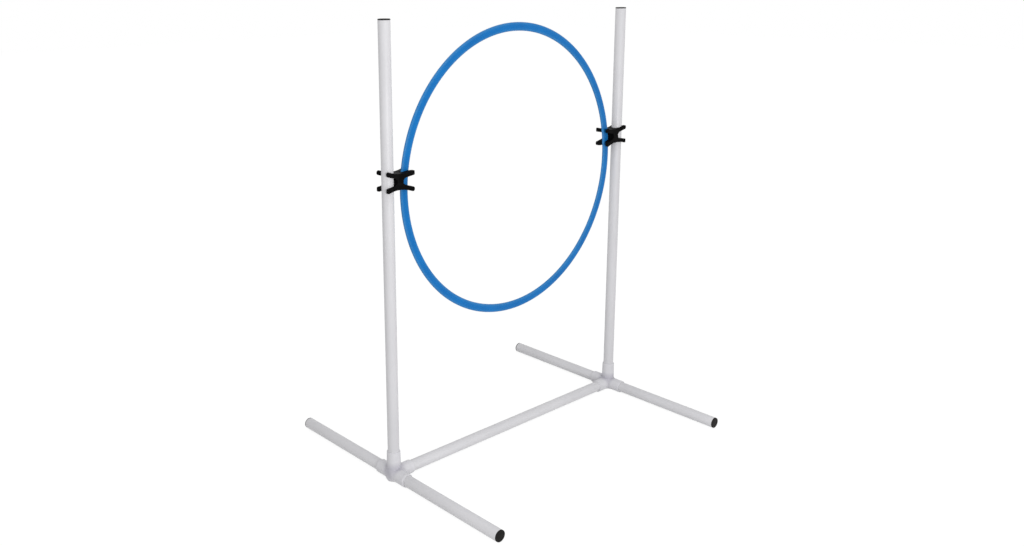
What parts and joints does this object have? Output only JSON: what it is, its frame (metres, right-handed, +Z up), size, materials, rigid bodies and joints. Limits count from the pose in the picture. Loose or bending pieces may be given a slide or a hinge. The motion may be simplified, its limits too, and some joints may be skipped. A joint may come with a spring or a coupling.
{
  "type": "hoop jump",
  "caption": "Free-standing dog agility jump: a flat hoop held between tube uprights by snap clips that slide to set its height, on tube feet joined by a cross tube.",
  "frame": {"origin": "on the floor, midway between the two uprights", "axes": "+X from the left upright to the right one, +Y from the front feet to the back feet, along the way a dog jumps, +Z up along the uprights"},
  "size_m": [0.8986, 0.7842, 1.1721],
  "materials": {
    "tube_white": "extruded white plastic tube, satin",
    "fitting_white": "moulded white plastic, satin, faintly cool",
    "cap_black": "moulded black plastic, fine matt grain",
    "clip_black": "moulded black nylon, satin",
    "hoop_blue": "extruded blue plastic strip, satin"
  },
  "bodies": {
    "frame": {"upright_left": "tube_white", "upright_right": "tube_white", "cross_tube": "tube_white", "foot_tube_front_left": "tube_white", "foot_tube_back_left": "tube_white", "foot_tube_front_right": "tube_white", "foot_tube_back_right": "tube_white", "base_fitting_left": "fitting_white", "base_fitting_right": "fitting_white", "upright_cap_left": "cap_black", "upright_cap_right": "cap_black", "foot_cap_front_left": "cap_black", "foot_cap_back_left": "cap_black", "foot_cap_front_right": "cap_black", "foot_cap_back_right": "cap_black"},
    "left_clip": {"hoop_clip_left": "clip_black"},
    "right_clip": {"hoop_clip_right": "clip_black"},
    "hoop": {"hoop": "hoop_blue"}
  },
  "joints": [
    {"name": "left_clip_height", "type": "slide", "parent": "frame", "child": "left_clip", "axis": [0, 0, 1], "range_m": [-0.32, 0.325]},
    {"name": "right_clip_height", "type": "slide", "parent": "frame", "child": "right_clip", "axis": [0, 0, 1], "range_m": [-0.32, 0.325]},
    {"name": "hoop_turn", "type": "hinge", "parent": "left_clip", "child": "hoop", "pos_m": [0, 0, 0.756], "axis": [0, 1, 0], "continuous": true}
  ],
  "couplings": [
    {"joint": "right_clip_height", "follows": "left_clip_height", "ratio": 1}
  ]
}
